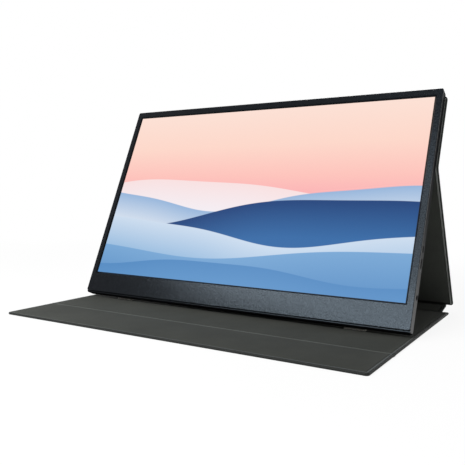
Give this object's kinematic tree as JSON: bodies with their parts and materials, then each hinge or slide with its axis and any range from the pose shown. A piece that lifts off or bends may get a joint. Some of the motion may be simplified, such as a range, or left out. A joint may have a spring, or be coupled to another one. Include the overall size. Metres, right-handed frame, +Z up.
{
  "type": "portable monitor with folio stand cover",
  "caption": "Thin portable monitor held at a slant by a folded folio cover, with side keys, sockets and a front flap.",
  "frame": {"origin": "on the table under the cover, at mid-width, under the line where the monitor's feet stand", "axes": "+X along the screen to the viewer's right, +Y away from the viewer, +Z up"},
  "size_m": [0.3624, 0.254, 0.214],
  "materials": {
    "face": "satin",
    "screen": "gloss",
    "housing": "satin",
    "keys": "satin",
    "feet": "matte",
    "cover_skin": "matte",
    "cover_lining": "matte",
    "cover_board": "matte",
    "clear_film": "gloss",
    "circuit": "satin",
    "chip": "matte",
    "sheet_metal": "satin",
    "steel": "satin",
    "magnet": "satin",
    "ribbon": "satin",
    "lead": "matte",
    "lamp": "gloss",
    "speaker": "matte"
  },
  "bodies": {
    "monitor": {"audio_socket": "chip", "backlight_led_bar": "circuit", "backlight_tray": "sheet_metal", "board_chips": "chip", "board_screws": "steel", "case_screws": "steel", "control_board": "circuit", "control_ribbon": "ribbon", "cover_magnets": "magnet", "display_glass": "screen", "display_ribbon": "ribbon", "front_frame": "face", "keeper_plate_left": "steel", "keeper_plate_right": "steel", "light_guide": "clear_film", "main_board": "circuit", "mini_hdmi_socket": "steel", "optical_films": "clear_film", "panel_driver_board": "circuit", "rear_cover": "housing", "reflector_sheet": "clear_film", "rocker_pin": "steel", "rubber_foot_left": "feet", "rubber_foot_right": "feet", "shield_can": "sheet_metal", "speaker_leads": "lead", "speaker_left": "speaker", "speaker_right": "speaker", "status_lamp": "lamp", "tact_switches": "chip", "upper_cover_board": "cover_board", "upper_cover_lining": "cover_lining", "upper_cover_skin": "cover_skin", "usb_c_socket_lower": "steel", "usb_c_socket_upper": "steel"},
    "power_button": {"power_button": "keys"},
    "menu_rocker": {"menu_rocker": "keys"},
    "leg": {"leg_board": "cover_board", "leg_lining": "cover_lining", "leg_skin": "cover_skin"},
    "spine": {"spine_board": "cover_board", "spine_lining": "cover_lining", "spine_skin": "cover_skin"},
    "base": {"base_lining": "cover_lining", "base_middle_board": "cover_board", "base_rear_board": "cover_board", "base_skin": "cover_skin"},
    "front_flap": {"flap_board": "cover_board", "flap_lining": "cover_lining", "flap_magnets": "magnet", "flap_skin": "cover_skin"}
  },
  "joints": [
    {"name": "spine_fold", "type": "hinge", "parent": "base", "child": "spine", "pos_m": [0, 0.12153, 0.0023], "axis": [1, 0, 0], "range_deg": [-10.1, 6.8]},
    {"name": "leg_fold", "type": "hinge", "parent": "spine", "child": "leg", "pos_m": [0, 0.13969, 0.00583], "axis": [1, 0, 0], "range_deg": [-3.5, 2.3]},
    {"name": "monitor_fold", "type": "hinge", "parent": "leg", "child": "monitor", "pos_m": [0, 0.0627, 0.14153], "axis": [1, 0, 0], "range_deg": [-18.1, 27.16]},
    {"name": "flap_fold", "type": "hinge", "parent": "base", "child": "front_flap", "pos_m": [0, -0.0555, 0.0023], "axis": [-1, 0, 0], "range_deg": [0, 115]},
    {"name": "power_button", "type": "slide", "parent": "monitor", "child": "power_button", "axis": [-1, 0, 0], "range_m": [0, 0.00035], "stiffness_N_per_m": 300, "springref_m": -0.002},
    {"name": "menu_rocker", "type": "hinge", "parent": "monitor", "child": "menu_rocker", "pos_m": [0.1765, 0.0207, 0.06062], "axis": [0, 0.9128, -0.4083], "range_deg": [-4, 4], "stiffness_Nm_per_rad": 0.003}
  ],
  "couplings": [
    {"joint": "spine_fold", "follows": "monitor_fold", "ratio": -0.37147},
    {"joint": "leg_fold", "follows": "monitor_fold", "ratio": -0.12564}
  ]
}
